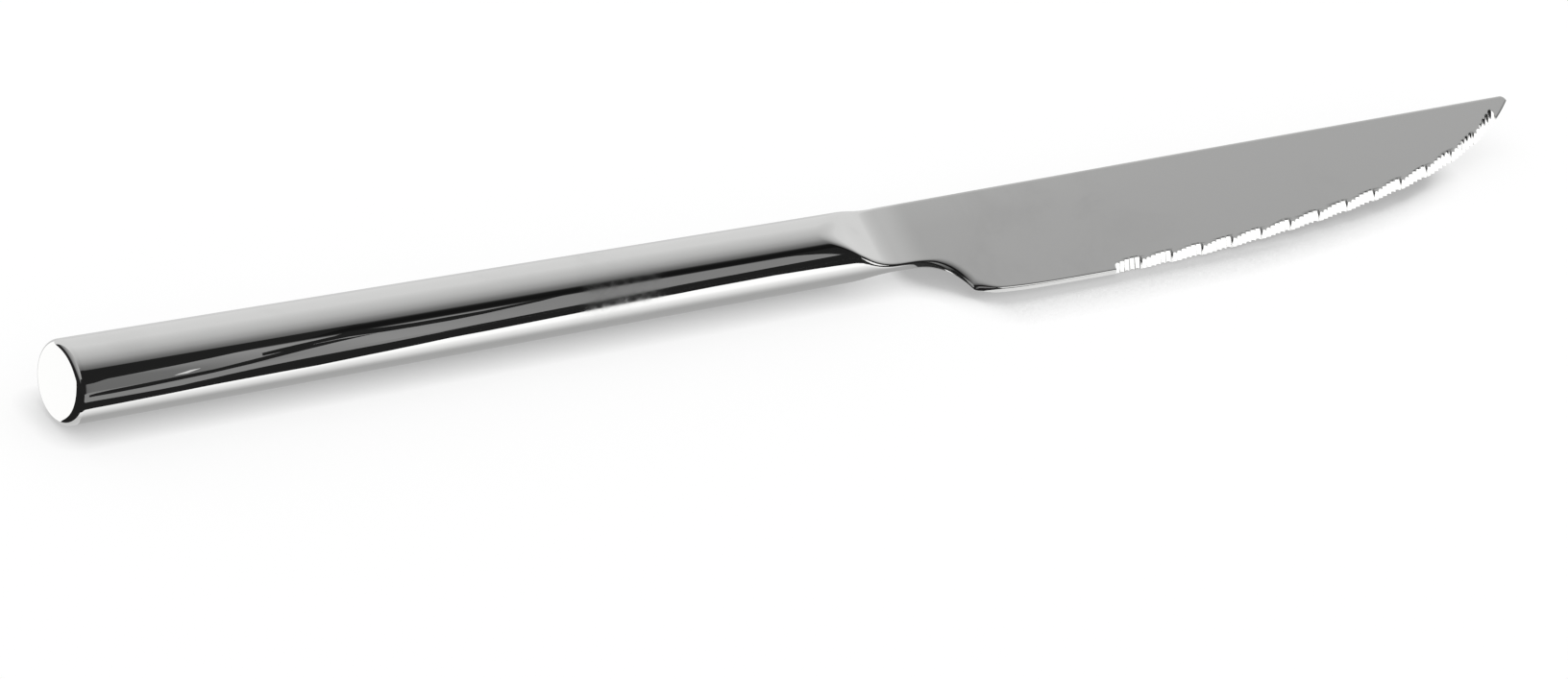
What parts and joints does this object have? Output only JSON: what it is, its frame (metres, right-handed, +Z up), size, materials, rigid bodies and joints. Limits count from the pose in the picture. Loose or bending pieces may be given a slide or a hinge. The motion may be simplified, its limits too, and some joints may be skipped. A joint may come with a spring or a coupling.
{
  "type": "steak knife",
  "caption": "All-metal table knife with a round tapered hollow handle, a flat-ground straight-backed blade and a scalloped, fluted cutting edge.",
  "frame": {"origin": "on the table under the middle of the knife's box, with the knife lying on its left side as it is put down", "axes": "+X from the butt to the tip, +Z up from the table, and the cutting edge towards -Y"},
  "size_m": [0.2324, 0.0159, 0.0109],
  "materials": {
    "blade_steel": "mirror polished",
    "handle_steel": "mirror polished",
    "cement": "matt cast"
  },
  "bodies": {
    "root": {"blade": "blade_steel", "handle_shell_right": "handle_steel", "handle_shell_left": "handle_steel", "cement_core": "cement", "butt_cap": "handle_steel"}
  },
  "joints": []
}
